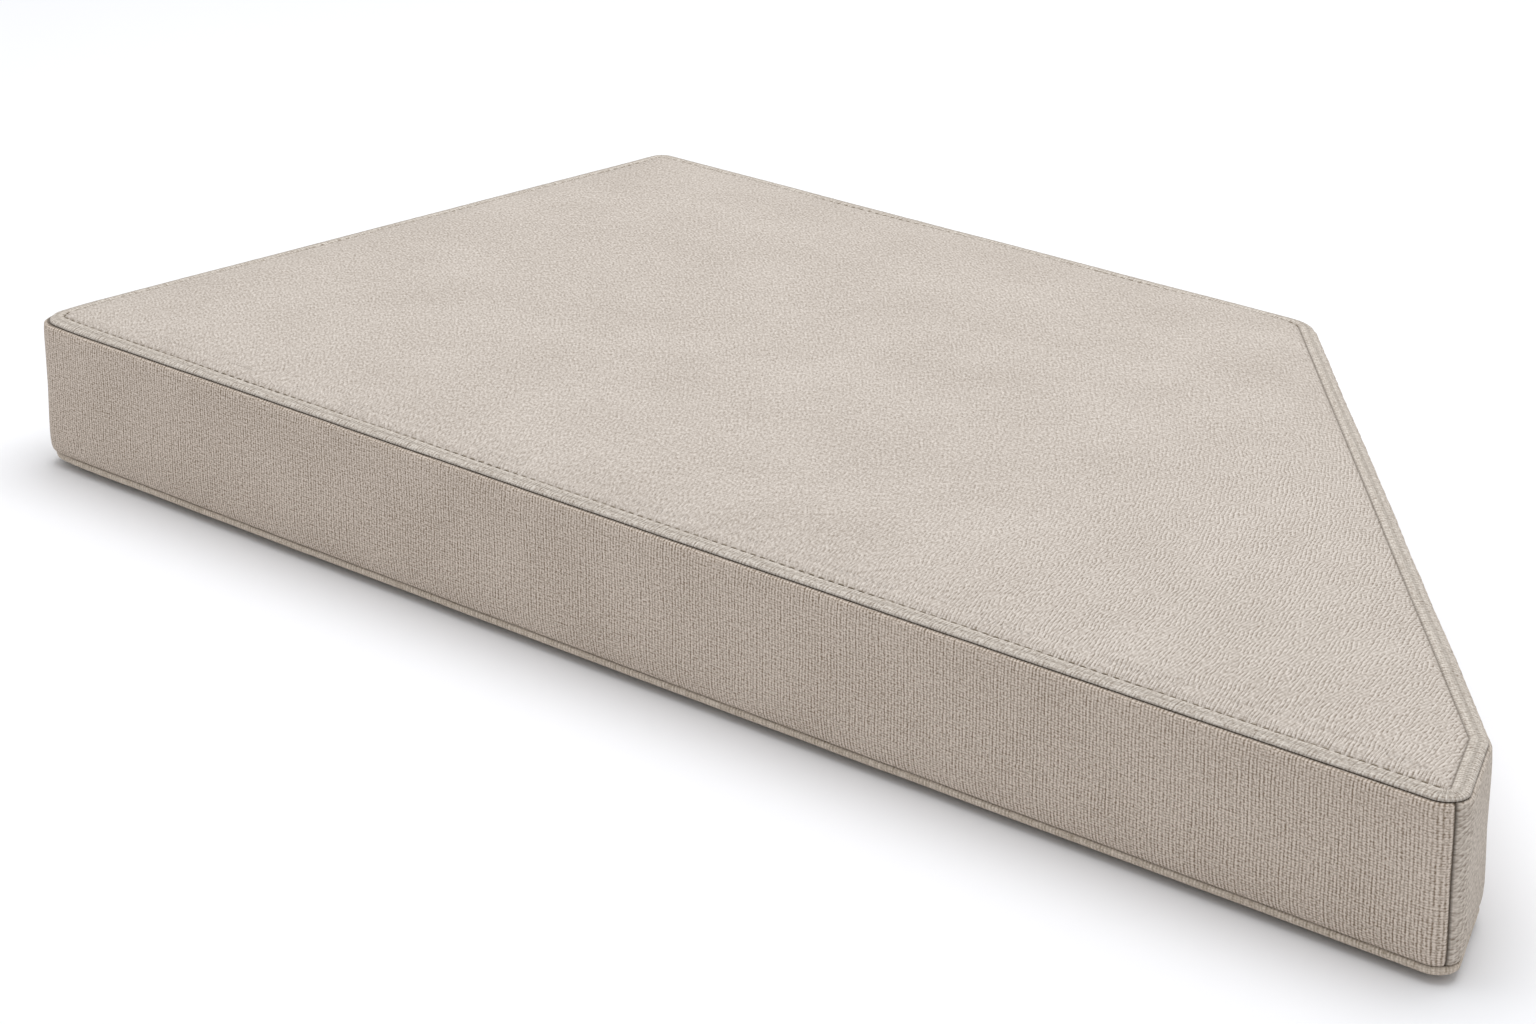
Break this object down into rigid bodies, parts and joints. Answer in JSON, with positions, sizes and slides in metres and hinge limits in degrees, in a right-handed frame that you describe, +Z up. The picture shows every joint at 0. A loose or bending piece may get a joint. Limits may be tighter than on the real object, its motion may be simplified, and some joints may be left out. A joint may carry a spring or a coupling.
{
  "type": "window seat cushion",
  "caption": "Boxed foam seat cushion for a corner window seat: right-angled trapezoid plan, slanted side with a blunt tip, top-stitched edge bands.",
  "frame": {"origin": "centre of the bounding box, on the surface that the cushion rests on", "axes": "+X along the front edge towards the blunt tip, +Y from the front towards the back, +Z up through the thickness"},
  "size_m": [1.1518, 0.5842, 0.1087],
  "materials": {
    "linen_cloth": "matt woven linen-look upholstery cloth, warm grey-beige"
  },
  "bodies": {
    "root": {"cushion": "linen_cloth"}
  },
  "joints": []
}
